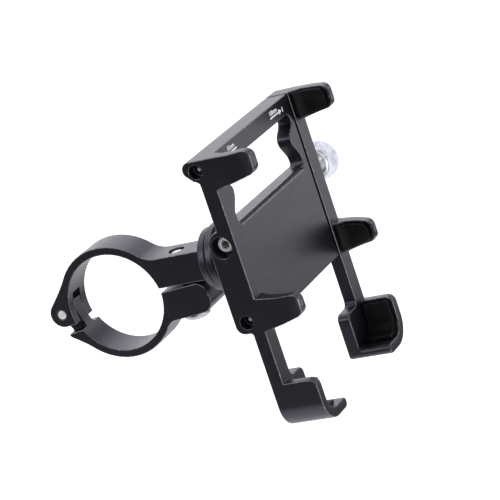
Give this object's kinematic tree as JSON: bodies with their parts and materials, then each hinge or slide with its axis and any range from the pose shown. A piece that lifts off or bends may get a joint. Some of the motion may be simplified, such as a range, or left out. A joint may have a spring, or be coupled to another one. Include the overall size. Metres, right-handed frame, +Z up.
{
  "type": "handlebar phone mount",
  "caption": "Handlebar phone mount: hinged two-piece bar clamp, turning swivel, and a holder plate whose corner fingers grip a phone by a screw-driven jaw.",
  "frame": {"origin": "centre of the handlebar bore, in the middle of the clamp's width", "axes": "+X along the handlebar towards the moving jaw and its knob, -Y towards the phone, +Z up the holder towards its top bar"},
  "size_m": [0.0746, 0.0958, 0.082],
  "materials": {
    "black_anodised": "satin black anodised, bead blasted, with bright machined edges",
    "black_rubber": "matt moulded rubber",
    "bright_steel": "bright zinc-plated steel",
    "polished_steel": "polished, with straight knurling on the knob",
    "dark_nylon": "plain"
  },
  "bodies": {
    "root": {"clamp_arm": "black_anodised", "hinge_pin": "bright_steel", "swivel_spindle": "bright_steel", "swivel_washer": "dark_nylon"},
    "lower_shell": {"lower_clamp_shell": "black_anodised"},
    "bolt": {"clamp_bolt": "bright_steel"},
    "holder": {"holder_body": "black_anodised", "swivel_set_screw_left": "bright_steel", "swivel_set_screw_right": "bright_steel", "fixed_upper_pad": "black_rubber", "fixed_lower_pad": "black_rubber", "fixed_cup_pad": "black_rubber"},
    "jaw": {"moving_jaw": "black_anodised", "guide_rod_upper": "bright_steel", "guide_rod_lower": "bright_steel", "moving_upper_pad": "black_rubber", "moving_lower_pad": "black_rubber", "moving_cup_pad": "black_rubber"},
    "screw_set": {"drive_screw": "bright_steel", "end_stop_screw": "bright_steel", "end_stop_washer": "bright_steel", "retaining_clip": "bright_steel", "knob_collar": "polished_steel", "knob": "polished_steel"}
  },
  "joints": [
    {"name": "clamp_swing", "type": "hinge", "parent": "root", "child": "lower_shell", "pos_m": [0, 0.0194, 0], "axis": [1, 0, 0], "range_deg": [0, 70]},
    {"name": "bolt_withdraw", "type": "slide", "parent": "lower_shell", "child": "bolt", "axis": [0, 0, -1], "range_m": [0, 0.016]},
    {"name": "holder_swivel", "type": "hinge", "parent": "root", "child": "holder", "pos_m": [0, -0.036, 0.0071], "axis": [0, 1, 0], "continuous": true},
    {"name": "jaw_slide", "type": "slide", "parent": "holder", "child": "jaw", "axis": [1, 0, 0], "range_m": [0, 0.045]},
    {"name": "knob_turn", "type": "hinge", "parent": "jaw", "child": "screw_set", "pos_m": [0, -0.0553, 0.0189], "axis": [1, 0, 0], "range_deg": [0, 20300]}
  ],
  "couplings": [
    {"joint": "bolt_withdraw", "follows": "clamp_swing", "m_per_rad": 0.012},
    {"joint": "knob_turn", "follows": "jaw_slide", "rad_per_m": 7854}
  ]
}
